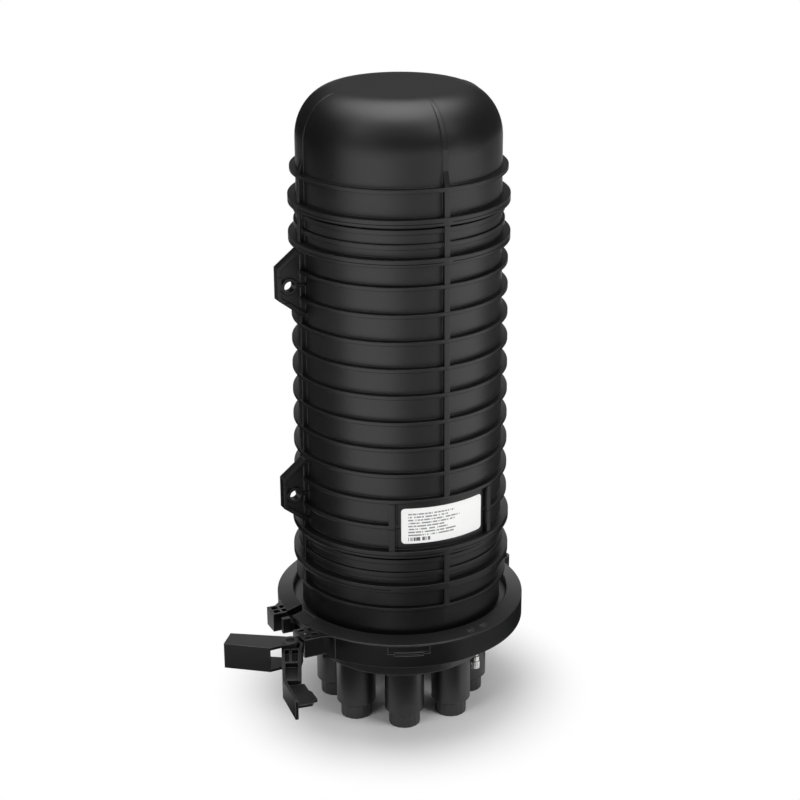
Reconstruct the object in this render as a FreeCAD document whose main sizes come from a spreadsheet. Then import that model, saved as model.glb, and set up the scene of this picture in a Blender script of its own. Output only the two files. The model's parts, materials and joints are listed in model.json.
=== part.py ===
import FreeCAD, Part, Sketcher
import math
import os

# Dome splice closure: a ribbed dome on a base with eight cable ports, held by a hinged
# V-groove clamp ring with an over-centre latch. Millimetres. The origin is on the dome's
# axis in the plane of the port tips, +Z up, the label faces -Y and the mounting lugs -X.

V = FreeCAD.Vector

# Driving sizes
SIZES = {
    # dome
    "dome_top": 538.0,
    "dome_flat_rad": 47.0,
    "shoulder_drop": 40.0,
    "wall_rad_top": 82.5,
    "wall_rad_low": 85.0,
    "taper_drop": 48.0,
    "taper_low": 186.0,
    "dome_wall": 3.5,
    "rib_out": 4.8,
    "big_rib_out": 6.6,
    "bead_out": 2.1,
    "rib_thick": 3.0,
    "big_rib_thick": 5.8,
    "bead_thick": 4.0,
    "row_first_drop": 139.1,
    "row_last_rise": 81.6,
    "row_count": 10,
    "strip_angle": 3.0,
    "window_half": 26.5,
    "post_half": 31.2,
    "pad_rad": 86.0,
    "label_wide": 72.0,
    "label_high": 31.0,
    "label_thick": 0.4,
    "label_seat": 0.05,
    # wall mounting lugs
    "lug_high_drop": 9.7,
    "lug_low_rise": 32.8,
    "lug_reach": 107.6,
    "lug_edge_half": 13.2,
    "lug_root_half": 32.0,
    "lug_plate": 3.4,
    "lug_border": 8.4,
    "lug_hole_rad": 4.5,
    "lug_hole_at": 97.6,
    "lug_hole_drop": 2.9,
    # flanges and clamp ring
    "joint_level": 88.4,
    "flange_rad": 97.5,
    "flange_thick": 6.0,
    "flange_bevel": 1.0,
    "flange_step": 92.0,
    "groove_gap": 0.4,
    "ring_in": 91.0,
    "ring_out": 104.8,
    "ring_low": 77.6,
    "ring_edge": 98.0,
    "ring_crown": 101.0,
    "ring_wall": 6.6,
    "ring_split_right": -86.1,
    "ring_split_left": 273.3,
    "hinge_split": 99.4,
    "hinge_rad": 110.5,
    "knuckle_rad": 6.5,
    "knuckle_low": 84.0,
    "knuckle_top": 91.9,
    "knuckle_air": 0.15,
    "hinge_pin_rad": 2.5,
    "open_angle": 2.29,
    "pin_play": 0.05,
    # base
    "floor_low": 54.0,
    "floor_thick": 5.0,
    "base_rad": 78.0,
    "base_bevel": 1.5,
    "base_neck_rad": 81.0,
    "base_wall": 4.0,
    "port_circle": 57.6,
    "port_rad": 16.7,
    "port_bore": 13.5,
    "tip_rad": 13.35,
    "tip_bore": 10.6,
    "tip_high": 11.0,
    "shoulder_high": 3.0,
    "tip_floor": 3.0,
    "port_count": 8,
    "seal_rad": 88.6,
    "seal_section": 2.4,
    # latch
    "pivot_x": -107.6,
    "pivot_y": -42.0,
    "lever_turn": -111.5,
    "lever_low": 81.7,
    "lever_top": 97.7,
    "tongue_low": 86.0,
    "tongue_top": 93.4,
    "boss_s": 15.8,
    "boss_w": -11.8,
    "lever_wall": 2.4,
    "hook_turn": 144.0,
    "hook_low": 78.6,
    "hook_top": 100.8,
    "hook_plate": 2.5,
    "hook_reach": 51.8,
    "hook_deep": 15.0,
    "hook_wall": 2.4,
    "latch_pin_rad": 2.3,
    "lug_plate_thick": 4.0,
    "catch_low": 81.5,
    "catch_top": 97.9,
    "lever_web": 90.9,
    # catch on the left half and its seats on the right half
    "tongue_slot_low": 82.6,
    "tongue_slot_top": 92.6,
    "tongue_reach": 6.2,
    "notch_low": 88.2,
    "notch_mid": 90.2,
    "notch_top": 96.2,
    "notch_start": -31.0,
    "notch_sweep": 19.0,
    "notch_slant": 2.9,
    "block_near": -8.0,
    "block_far": 7.1,
    "block_out": -117.6,
    "tooth_face": -13.1,
    "tooth_out": -112.5,
    # valve
    "valve_circle": 67.5,
    "valve_turn": 46.5,
    "valve_rad": 2.8,
    "valve_drop": 21.0,
    # inside
    "plate_back": 22.0,
    "plate_thick": 2.0,
    "plate_half": 48.0,
    "plate_low": 66.0,
    "plate_drop": 88.0,
    "pillar_at": 26.0,
    "tray_low": 205.0,
    "tray_drop": 93.0,
    "tray_half": 48.0,
    "tray_thick": 9.0,
    "tray_gap": 0.4,
    "tray_count": 5,
    "tray_wall": 1.8,
    "post_rad": 4.0,
    "screw_rad": 2.0,
}

doc = FreeCAD.newDocument("SpliceClosure")
sheet = doc.addObject("Spreadsheet::Sheet", "Sizes")
for row, (alias, number) in enumerate(SIZES.items(), start=1):
    sheet.set("A%d" % row, alias)
    sheet.set("B%d" % row, str(number))
    sheet.setAlias("B%d" % row, alias)
doc.recompute()


def S(alias):
    return float(sheet.get(alias))


nodes = []


def body(name):
    made = doc.addObject("PartDesign::Body", name)
    made.Label = name
    nodes.append(made)
    return made


def polar(rad, az):
    a = math.radians(az)
    return rad * math.sin(a), -rad * math.cos(a)


def draw(sketch, loops):
    """Closed loops: (x, y, radius) for a circle, or a list of points where a nested list is a smooth curve."""
    for loop in loops:
        if isinstance(loop, tuple):
            sketch.addGeometry(Part.Circle(V(loop[0], loop[1], 0), V(0, 0, 1), loop[2]), False)
            continue
        runs = [item if isinstance(item, list) else [item] for item in loop]
        for run, following in zip(runs, runs[1:] + runs[:1]):
            if len(run) > 1:
                curve = Part.BSplineCurve()
                curve.interpolate([V(x, y, 0) for x, y in run])
                sketch.addGeometry(curve, False)
            p, q = run[-1], following[0]
            if p != q:
                sketch.addGeometry(Part.LineSegment(V(p[0], p[1], 0), V(q[0], q[1], 0)), False)


def sketch_on(owner, role, offset, loops, name):
    plane = [f for f in owner.Origin.OriginFeatures if f.Role == role][0]
    sketch = owner.newObject("Sketcher::SketchObject", name)
    sketch.AttachmentSupport = [(plane, "")]
    sketch.MapMode = "FlatFace"
    sketch.AttachmentOffset = offset
    draw(sketch, loops)
    return sketch


def level(z):
    return FreeCAD.Placement(V(0, 0, z), FreeCAD.Rotation())


def turned(az):
    """Half-plane at azimuth az: sketch x is the radius and sketch y the height."""
    return FreeCAD.Placement(V(0, 0, 0), FreeCAD.Rotation(V(0, 1, 0), az - 90))


def measured(owner, feature, cut):
    doc.recompute()
    before = feature.BaseFeature.Shape.Volume if feature.BaseFeature else 0.0
    change = feature.Shape.Volume - before
    if (cut and change >= 0) or (not cut and change <= 0):
        raise RuntimeError("%s changes nothing in %s" % (feature.Name, owner.Label))
    return feature


def pad(owner, name, loops, low, top, low_cell=None, high_cell=None):
    sketch = sketch_on(owner, "XY_Plane", level(low), loops, name + "Sketch")
    made = owner.newObject("PartDesign::Pad", name)
    made.Profile = sketch
    made.Length = top - low
    if low_cell:
        sketch.setExpression("AttachmentOffset.Base.z", low_cell)
    if low_cell and high_cell:
        made.setExpression("Length", "(%s) - (%s)" % (high_cell, low_cell))
    return measured(owner, made, False)


def pocket(owner, name, loops, low, top, low_cell=None, high_cell=None):
    sketch = sketch_on(owner, "XY_Plane", level(top), loops, name + "Sketch")
    made = owner.newObject("PartDesign::Pocket", name)
    made.Profile = sketch
    made.Length = top - low
    if high_cell:
        sketch.setExpression("AttachmentOffset.Base.z", high_cell)
    if low_cell and high_cell:
        made.setExpression("Length", "(%s) - (%s)" % (high_cell, low_cell))
    return measured(owner, made, True)


def revolve(owner, name, loops, start=0.0, angle=360.0, cut=False, angle_cell=None):
    sketch = sketch_on(owner, "XZ_Plane", turned(start), loops, name + "Sketch")
    made = owner.newObject("PartDesign::Groove" if cut else "PartDesign::Revolution", name)
    made.Profile = sketch
    made.ReferenceAxis = (sketch, ["V_Axis"])
    made.Angle = angle
    if angle_cell:
        made.setExpression("Angle", angle_cell)
    return measured(owner, made, cut)


def ring_pattern(owner, feature, name, count):
    made = owner.newObject("PartDesign::PolarPattern", name)
    made.Originals = [feature]
    made.Axis = ([f for f in owner.Origin.OriginFeatures if f.Role == "Z_Axis"][0], [""])
    made.Angle = 360
    made.Occurrences = count
    owner.Tip = made
    doc.recompute()
    return made


def rect(x0, y0, x1, y1):
    return [(x0, y0), (x1, y0), (x1, y1), (x0, y1)]


def rounded(x0, y0, x1, y1, r, steps=4):
    points = []
    for cx, cy, a0 in ((x1 - r, y0 + r, -90), (x1 - r, y1 - r, 0), (x0 + r, y1 - r, 90), (x0 + r, y0 + r, 180)):
        for i in range(steps + 1):
            a = math.radians(a0 + 90.0 * i / steps)
            points.append((cx + r * math.cos(a), cy + r * math.sin(a)))
    return points


# Levels and radii that several pieces share
joint = S("joint_level")
flange_top = joint + S("flange_thick")
flange_low = joint - S("flange_thick")
taper_top = S("dome_top") - S("taper_drop")
wall_slope = (S("wall_rad_low") - S("wall_rad_top")) / (taper_top - S("taper_low"))
shoulder_low = S("dome_top") - S("shoulder_drop")
floor_top = S("floor_low") + S("floor_thick")
row_first = S("dome_top") - S("row_first_drop")
row_last = flange_top + S("row_last_rise")
row_pitch = (row_first - row_last) / S("row_count")
plate_top = S("dome_top") - S("plate_drop")
tray_top = S("dome_top") - S("tray_drop")


def wall_at(z):
    inside = min(max(z, S("taper_low")), taper_top)
    return S("wall_rad_top") + (taper_top - inside) * wall_slope


def shoulder(grow, steps=10, last=90.0):
    """Quarter ellipse from the wall's top to the flat disc, grown outward and upward."""
    points = []
    reach = S("wall_rad_top") + grow - S("dome_flat_rad")
    for i in range(steps + 1):
        a = math.radians(last * i / steps)
        points.append((S("dome_flat_rad") + reach * math.cos(a),
                       shoulder_low + (S("shoulder_drop") + min(grow, 0)) * math.sin(a)))
    return points


# Rims round the dome: height of the top edge, thickness, reach
rib = (S("rib_thick"), S("rib_out"))
big_rib = (S("big_rib_thick"), S("big_rib_out"))
bead = (S("bead_thick"), S("bead_out"))
rows = [(row_first + 76.5,) + rib, (row_first + 53.4,) + big_rib, (row_first + 44.9,) + bead,
        (row_first + 33.2,) + bead, (row_first + 22.1,) + big_rib]
rows += [(row_first - i * row_pitch,) + rib for i in range(int(S("row_count")))]
rows += [(row_last,) + big_rib, (row_last - 9.2,) + bead, (row_last - 20.8,) + bead,
         (row_last - 31.2,) + big_rib, (row_last - 52.0,) + rib]
window_low = row_last
window_top = row_last + 2 * row_pitch - S("rib_thick")


def strip_outline():
    """Upright strip, flush with the rims, that fades out on the shoulder."""
    foot = rows[-1][0] - S("rib_thick")
    head = rows[0][0]
    out = S("rib_out") - 0.2
    crown = []
    last = 80.0
    arc = shoulder(0.0, 10, last)
    for i, (r, z) in enumerate(arc[1:], start=1):
        away = math.hypot(r - S("dome_flat_rad"), z - shoulder_low)
        lift = 1.2 * (1.0 - (i / 10.0) ** 3) - 0.1
        crown.append((r + lift * (r - S("dome_flat_rad")) / away, z + lift * (z - shoulder_low) / away))
    back = [(r - 1.5, z - 1.0) for r, z in reversed(arc[1:])]
    return [(wall_at(foot) - 1, foot), (wall_at(foot) + out, foot), (wall_at(head) + out, head),
            (S("wall_rad_top") + 1.4, head + 12), crown, back]


def make_dome():
    dome = body("dome")
    t = S("dome_wall")
    profile = [(S("flange_rad"), joint), (S("flange_rad"), flange_top - S("flange_bevel")),
               (S("flange_step"), flange_top), (S("wall_rad_low"), flange_top),
               (S("wall_rad_low"), S("taper_low")), (S("wall_rad_top"), taper_top), shoulder(0.0),
               (0, S("dome_top")), (0, S("dome_top") - t), list(reversed(shoulder(-t))),
               (S("wall_rad_top") - t, taper_top), (S("wall_rad_low") - t, S("taper_low")),
               (S("wall_rad_low") - t, joint)]
    revolve(dome, "DomeShell", [profile])
    # Rims: one sketch with a trapezoid for each row
    loops = []
    for top, thick, out in rows:
        root = wall_at(top) - 1.0
        tip = wall_at(top) + out
        loops.append([(root, top - thick - 0.4), (tip, top - thick), (tip, top), (root, top + 0.4)])
    revolve(dome, "DomeRims", loops)
    upright = revolve(dome, "Strip", [strip_outline()], start=-S("strip_angle") / 2, angle=S("strip_angle"),
                      angle_cell="Sizes.strip_angle")
    ring_pattern(dome, upright, "Strips", 4)
    # Label window: the rows between two rims are cleared and a smooth pad is left
    clear = rect(S("pad_rad"), window_low, S("pad_rad") + 9, window_top)
    revolve(dome, "WindowClear", [clear], start=-S("post_half") + 1.7, angle=2 * S("post_half") - 3.4, cut=True)
    foot = rect(S("pad_rad") - 3, window_low - 0.5, S("pad_rad"), window_top + 0.5)
    revolve(dome, "WindowPad", [foot], start=-S("window_half"), angle=2 * S("window_half"))
    post = rect(S("pad_rad") - 3, window_low - 0.5, S("pad_rad") + S("rib_out") - 1.2, window_top + 0.5)
    for side, start in (("Left", -S("post_half")), ("Right", S("post_half") - 3.3)):
        revolve(dome, "WindowPost" + side, [post], start=start, angle=3.3)
    make_lug(dome, "High", row_first - S("lug_high_drop"))
    make_lug(dome, "Low", row_last + S("lug_low_rise"))


def make_lug(dome, name, mid):
    """Wall mounting lug: a thin radial plate with a raised border, a boss round the hole and a tie to the wall."""
    root = S("wall_rad_low") - 1.5
    reach, plate, border = S("lug_reach"), S("lug_plate"), S("lug_border")
    inset = 3.2
    edge, foot_half = S("lug_edge_half"), S("lug_root_half")
    outline = [(-root, mid - foot_half), (-reach, mid - edge), (-reach, mid + edge), (-root, mid + foot_half)]
    frame = outline + [(-root, mid + foot_half - inset - 2), (-reach + inset, mid + edge - inset * 0.5),
                       (-reach + inset, mid - edge + inset * 0.5), (-root, mid - foot_half + inset + 2)]
    x, z = -S("lug_hole_at"), mid - S("lug_hole_drop")
    boss = S("lug_hole_rad") + 2.4
    tie = rect(x, z - 1.2, -root - 0.5, z + 1.2)
    layers = [("Web", plate, [outline]), ("Border", border, [frame]), ("Tie", border - 1.6, [tie]),
              ("Boss", border, [(x, z, boss)])]
    for layer, thick, loops in layers:
        across = FreeCAD.Placement(V(0, 0, -thick / 2), FreeCAD.Rotation())
        sketch = sketch_on(dome, "XZ_Plane", across, loops, "Lug%s%sSketch" % (layer, name))
        grown = dome.newObject("PartDesign::Pad", "Lug%s%s" % (layer, name))
        grown.Profile = sketch
        grown.Length = thick
        measured(dome, grown, False)
    across = FreeCAD.Placement(V(0, 0, -border / 2), FreeCAD.Rotation())
    sketch = sketch_on(dome, "XZ_Plane", across, [(x, z, S("lug_hole_rad"))], "LugHole%sSketch" % name)
    bored = dome.newObject("PartDesign::Pocket", "LugHole%s" % name)
    bored.Profile = sketch
    bored.Length = border
    bored.Reversed = True
    measured(dome, bored, True)


def make_label():
    label = body("label")
    mid = (window_low + window_top) / 2
    w, h = S("label_wide") / 2, S("label_high") / 2
    sketch = sketch_on(label, "XZ_Plane", level(0), [rounded(-w, mid - h, w, mid + h, 3.0)], "LabelSketch")
    block = label.newObject("PartDesign::Pad", "LabelBlock")
    block.Profile = sketch
    block.Length = S("pad_rad") + 5
    measured(label, block, False)
    seat = S("pad_rad") + S("label_seat")
    inner = rect(0, mid - h - 1, seat, mid + h + 1)
    outer = rect(seat + S("label_thick"), mid - h - 1, seat + 40, mid + h + 1)
    revolve(label, "LabelCurve", [inner, outer], cut=True)


def make_base():
    base = body("base")
    t = S("base_wall")
    low = S("floor_low")
    seat = 2 * S("seal_section") + 0.5
    bevel = S("base_bevel")
    outline = [(0, low), (S("base_rad") - bevel, low), (S("base_rad"), low + bevel),
               (S("base_neck_rad"), S("ring_low") - 2), (S("ring_in") - 3.5, flange_low - 1.5),
               (S("ring_in") - 3.5, flange_low), (S("flange_step"), flange_low),
               (S("flange_rad"), flange_low + S("flange_bevel")), (S("flange_rad"), joint),
               (S("seal_rad") + seat / 2, joint), (S("seal_rad") + seat / 2, joint - seat),
               (S("seal_rad") - seat / 2, joint - seat), (S("seal_rad") - seat / 2, joint),
               (S("base_neck_rad") - t + 1, joint), (S("base_neck_rad") - t, S("ring_low") - 2),
               (S("base_rad") - t, low + S("floor_thick")), (0, low + S("floor_thick"))]
    revolve(base, "BaseShell", [outline])
    # One port, then the circle of them: round tube, coned shoulder and a faceted closed tip
    x, y = polar(S("port_circle"), 180.0 / S("port_count"))
    foot = S("tip_high") + S("shoulder_high")
    features = [pad(base, "PortTube", [(x, y, S("port_rad"))], foot, low + 1, "%s" % foot, "Sizes.floor_low + 1")]
    facets = 16
    tip = [(x + S("tip_rad") * math.cos(2 * math.pi * i / facets), y + S("tip_rad") * math.sin(2 * math.pi * i / facets))
           for i in range(facets)]
    features.append(pad(base, "PortTip", [tip], 0.0, foot + 0.5))
    cone_low = S("tip_rad") - 0.4
    cone = [(0, S("tip_high")), (cone_low, S("tip_high")), (S("port_rad"), foot), (0, foot)]
    sketch = sketch_on(base, "XZ_Plane", turned(180.0 / S("port_count")),
                       [[(S("port_circle") + r, z) for r, z in cone]], "PortConeSketch")
    sketch.addGeometry(Part.LineSegment(V(S("port_circle"), 0, 0), V(S("port_circle"), 20, 0)), True)
    taper = base.newObject("PartDesign::Revolution", "PortCone")
    taper.Profile = sketch
    taper.ReferenceAxis = (sketch, ["Axis0"])
    taper.Angle = 360
    features.append(measured(base, taper, False))
    features.append(pocket(base, "PortBore", [(x, y, S("port_bore"))], foot, floor_top))
    features.append(pocket(base, "TipBore", [(x, y, S("tip_bore"))], S("tip_floor"), foot + 0.1))
    made = base.newObject("PartDesign::PolarPattern", "Ports")
    made.Originals = features
    made.Axis = ([f for f in base.Origin.OriginFeatures if f.Role == "Z_Axis"][0], [""])
    made.Angle = 360
    made.Occurrences = int(S("port_count"))
    base.Tip = made
    doc.recompute()
    # Valve hole and four pillars for the inner bracket
    vx, vy = polar(S("valve_circle"), S("valve_turn"))
    pocket(base, "ValveHole", [(vx, vy, S("valve_rad") + S("pin_play"))], low, floor_top)
    at = S("pillar_at")
    pillars = [(sx * at, sy * at, S("post_rad")) for sx in (-1, 1) for sy in (-1, 1)]
    pad(base, "Pillars", pillars, low + 1, S("plate_low"), "Sizes.floor_low + 1", "Sizes.plate_low")
    holes = [(sx * at, sy * at, S("screw_rad") + S("pin_play")) for sx in (-1, 1) for sy in (-1, 1)]
    pocket(base, "PillarHoles", holes, low + 2, S("plate_low"))


def make_seal():
    seal = body("sealing_ring")
    x, r = S("seal_rad"), S("seal_section")
    z = joint - r - 0.05
    sketch = sketch_on(seal, "XZ_Plane", level(0), [(x, z, r)], "SealSketch")
    sketch.addConstraint(Sketcher.Constraint("Radius", 0, r))
    sketch.setExpression("Constraints[0]", "Sizes.seal_section")
    made = seal.newObject("PartDesign::Revolution", "SealRing")
    made.Profile = sketch
    made.ReferenceAxis = (sketch, ["V_Axis"])
    made.Angle = 360
    measured(seal, made, False)


def ring_profile():
    gap = S("groove_gap")
    wall = S("ring_out") - S("ring_wall")
    return [(S("ring_in"), S("ring_low")), (S("ring_out"), S("ring_low")),
            (S("ring_out"), S("ring_edge") - 0.8), (S("ring_out") - 0.8, S("ring_edge")),
            (S("ring_in") + 1.0, S("ring_crown")), (S("ring_in"), S("ring_crown") - 1.0),
            (S("ring_in"), flange_top + gap), (S("flange_step"), flange_top + gap),
            (wall, flange_top - S("flange_bevel") + gap), (wall, flange_low + S("flange_bevel") - gap),
            (S("flange_step"), flange_low - gap), (S("ring_in"), flange_low - gap)]


hx, hy = polar(S("hinge_rad"), S("hinge_split"))
px, py = S("pivot_x"), S("pivot_y")
knuckle_levels = [S("ring_low"), S("knuckle_low"), S("knuckle_top"), S("ring_edge")]
knuckle_air = S("knuckle_air")


def arm(side):
    """Block that ties a hinge barrel to its half ring, seen from above."""
    a0, a1 = (S("hinge_split") + 0.8, S("hinge_split") + 8.5) if side > 0 else \
        (S("hinge_split") - 8.5, S("hinge_split") - 0.8)
    inner = S("ring_out") - 3.0
    near, far = (a0, a1) if side > 0 else (a1, a0)
    k = S("knuckle_rad") * 0.96
    tip = math.radians(S("hinge_split"))
    radial = (math.sin(tip), -math.cos(tip))
    along = (math.cos(tip) * side, math.sin(tip) * side)
    outer = (hx + k * (radial[0] * 0.3 + along[0] * 0.95), hy + k * (radial[1] * 0.3 + along[1] * 0.95))
    return [polar(inner, near), polar(inner, far), polar(S("ring_out"), far), outer, (hx, hy)]


def make_clamp_right():
    right = body("clamp_right")
    start = S("ring_split_right")
    sweep = S("hinge_split") - 0.5 - start
    revolve(right, "RightRing", [ring_profile()], start=start, angle=sweep)
    # Latch lug: two plates with a closed front and part of the back, ribbed on top
    low, top, plate = S("catch_low"), S("catch_top"), S("lug_plate_thick")
    wall = S("ring_out") - 3.0
    plan = [(px - 6.3, py + 10.3), (px - 4.5, py - 10.4), (px + 12.0, py - 10.8), (px + 16.5, py - 12.6),
            (px + 20.0, py - 16.5), polar(wall, -56.0), polar(wall, -60.0), polar(wall, -66.0), polar(wall, -72.0)]
    pad(right, "LugTop", [plan], top - plate, top, "Sizes.catch_top - Sizes.lug_plate_thick", "Sizes.catch_top")
    pad(right, "LugFoot", [plan], low, low + plate, "Sizes.catch_low", "Sizes.catch_low + Sizes.lug_plate_thick")
    front = [(px - 4.5, py - 10.4), (px + 12.0, py - 10.8), (px + 16.5, py - 12.6), (px + 20.0, py - 16.5),
             polar(wall, -56.0), polar(wall, -60.0), (px + 12.0, py - 7.9), (px - 4.2, py - 7.9)]
    pad(right, "LugFront", [front], low, top, "Sizes.catch_low", "Sizes.catch_top")
    back = [(px + 1.5, py + 8.0), (px + 14.0, py + 8.0), polar(wall, -72.0), (px + 1.5, py + 10.0)]
    pad(right, "LugBack", [back], low, top, "Sizes.catch_low", "Sizes.catch_top")
    # The lug's gusset below, close to the ring wall
    gusset = [(px + 11.0, py - 10.8), (px + 16.5, py - 12.6), (px + 20.0, py - 16.5), polar(wall, -56.0),
              polar(wall, -64.0)]
    pad(right, "LugGusset", [gusset], S("ring_low"), low + 0.5)
    # Pockets in the lug's top, with ribs left between them and round the pin
    pockets = [rect(px - 3.0, py + 4.6, px + 2.6, py + 8.4), rect(px + 4.8, py + 1.0, px + 9.0, py + 8.4),
               rect(px + 4.8, py - 7.4, px + 10.5, py - 0.8), rect(px - 2.6, py - 8.6, px + 2.8, py - 4.8)]
    pocket(right, "LugPockets", pockets, top - 2.4, top)
    # Slot that takes the left half's tongue, open to the outside and to the end
    slot_rad = S("ring_out") - S("ring_wall") - 0.2
    slot = rect(slot_rad, S("tongue_slot_low"), S("ring_out") + 6, S("tongue_slot_top"))
    revolve(right, "TongueSlot", [slot], start=start - 1, angle=1 + S("tongue_reach") + 0.6, cut=True)
    # Lowered step on the top face by the split
    lowered = [(S("ring_in") + 2.4, S("ring_crown") - 1.0), (S("ring_out") - 2.0, S("ring_edge") - 0.2),
               (S("ring_out") - 2.0, S("ring_edge") + 3), (S("ring_in") + 2.4, S("ring_crown") + 3)]
    revolve(right, "SplitStep", [lowered], start=start - 1, angle=11.5, cut=True)
    # Front notch for the lever's tooth: a wide upper part and a narrower ledge below it
    notch_rad = S("ring_out") - 2.6
    wide = [(notch_rad, S("notch_mid")), (S("ring_out") + 2, S("notch_mid") - 0.6),
            (S("ring_out") + 2, S("notch_top") + 0.6), (notch_rad, S("notch_top"))]
    revolve(right, "LeverNotch", [wide], start=S("notch_start"), angle=S("notch_sweep"), cut=True)
    ledge = rect(notch_rad + 0.6, S("notch_low"), S("ring_out") + 2, S("notch_mid") + 0.5)
    revolve(right, "NotchLedge", [ledge], start=S("notch_start") + S("notch_slant"),
            angle=S("notch_sweep") - 2 * S("notch_slant"), cut=True)
    # Two round witness marks on the top face, each a ring with a bar
    for mark, az in (("Left", 10.6), ("Right", 18.4)):
        x, y = polar(S("ring_out") - 6.4, az)
        top_z = S("ring_edge") + 1.9
        pad(right, "MarkRing" + mark, [(x, y, 3.1), (x, y, 2.4)], S("ring_edge") - 1, top_z)
        pad(right, "MarkBar" + mark, [rect(x - 2.6, y - 0.45, x + 2.6, y + 0.45)], S("ring_edge") - 1, top_z)
    # Middle hinge barrel
    low_k, top_k = knuckle_levels[1] + knuckle_air, knuckle_levels[2] - knuckle_air
    pad(right, "RightBarrel", [(hx, hy, S("knuckle_rad"))], low_k, top_k)
    pad(right, "RightArm", [arm(-1)], low_k, top_k)
    clear = [(hx, hy, S("knuckle_rad") + 0.6)]
    pocket(right, "RightClearLow", clear, S("ring_low") - 1, low_k)
    pocket(right, "RightClearTop", clear, top_k, S("ring_crown") + 1)
    pocket(right, "RightBore", [(hx, hy, S("hinge_pin_rad") + S("pin_play"))], S("ring_low"), S("ring_crown"))
    pocket(right, "LatchBore", [(px, py, S("latch_pin_rad") + S("pin_play"))], S("ring_low"), S("ring_crown"))


def make_clamp_left():
    """Modelled shut, then swung open about the hinge pin by the rest angle."""
    left = body("clamp_left")
    start = S("hinge_split") + 0.5
    revolve(left, "LeftRing", [ring_profile()], start=start, angle=S("ring_split_left") - start)
    low, top = S("catch_low"), S("catch_top")
    wall = S("ring_out") - 3.0
    # Catch block with its gusset and four open pockets
    near, far, out = S("block_near"), S("block_far"), S("block_out")
    end_y = polar(S("ring_out"), S("ring_split_left"))[1] + 0.1
    clear_x = -S("ring_out") - 0.8
    plan = [(-wall, end_y), (clear_x, end_y), (clear_x, near), (out, near), (out - 0.6, far), (out + 6.5, far),
            polar(wall - 1.6, 360.0 - 100.6)]
    pad(left, "CatchBlock", [plan], low, top, "Sizes.catch_low", "Sizes.catch_top")
    mid = (near + far) / 2
    cells = []
    for y0, y1 in ((near + 1.7, mid - 0.8), (mid + 0.8, far - 1.7)):
        cells += [rect(out + 1.7, y0, out + 7.2, y1), rect(out + 9.0, y0, -wall - 2.6, y1)]
    pocket(left, "CatchCells", cells, top - 9.0, top)
    # Tongue that enters the other half, and the catch tooth that the hook pulls on
    end = S("ring_split_left") - 360.0
    tongue = rect(S("ring_out") - S("ring_wall") + 0.3, S("tongue_slot_low") + 0.4,
                  S("ring_out") - 0.4, S("tongue_slot_top") - 0.4)
    revolve(left, "Tongue", [tongue], start=end - 1.0, angle=S("tongue_reach") + 1.0)
    face = S("tooth_face")
    tooth_root = [(S("tooth_out"), face - 4.0), (S("tooth_out"), face), (-103.2, face), (-102.8, face - 4.0)]
    pad(left, "Tooth", [tooth_root], S("tongue_slot_low") + 0.4, S("tongue_slot_top") - 0.4)
    tooth_tip = [(S("tooth_out"), face - 4.0), (S("tooth_out"), face), (-105.6, face), (-105.6, face - 4.0)]
    pad(left, "ToothTip", [tooth_tip], S("tongue_slot_low") + 0.4, S("catch_top") - 1.4)
    # Upper and lower hinge barrels
    k = knuckle_levels
    for name, z0, z1 in (("Low", k[0], k[1] - knuckle_air), ("Top", k[2] + knuckle_air, k[3])):
        pad(left, "LeftBarrel" + name, [(hx, hy, S("knuckle_rad"))], z0, z1)
        pad(left, "LeftArm" + name, [arm(1)], z0, z1)
    pocket(left, "LeftClear", [(hx, hy, S("knuckle_rad") + 0.6)], k[1] - knuckle_air, k[2] + knuckle_air)
    pocket(left, "LeftBore", [(hx, hy, S("hinge_pin_rad") + S("pin_play"))], S("ring_low"), S("ring_crown"))
    left.Placement = FreeCAD.Placement(V(0, 0, 0), FreeCAD.Rotation(V(0, 0, 1), -S("open_angle")), V(hx, hy, 0))


def headed_pin(name, x, y, rad, low, top, head_rad, head_low, head_top):
    pin = body(name)
    pad(pin, "Shank", [(x, y, rad)], low, top)
    pad(pin, "Head", [(x, y, head_rad)], head_low, head_top)
    return pin


def make_pins():
    headed_pin("hinge_pin", hx, hy, S("hinge_pin_rad"), S("ring_low") - 1.5, S("ring_edge") + 0.05,
               4.2, S("ring_edge") + 0.05, S("ring_edge") + 1.6)
    headed_pin("lever_pin", px, py, S("latch_pin_rad"), S("catch_low") - 0.4, S("catch_top") + 0.05,
               3.4, S("catch_top") + 0.05, S("catch_top") + 0.25)


def local(points, x0, y0, turn):
    """Points given along and to the left of a direction, in plan."""
    a = math.radians(turn)
    return [(x0 + s * math.cos(a) - w * math.sin(a), y0 + s * math.sin(a) + w * math.cos(a)) for s, w in points]


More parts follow.
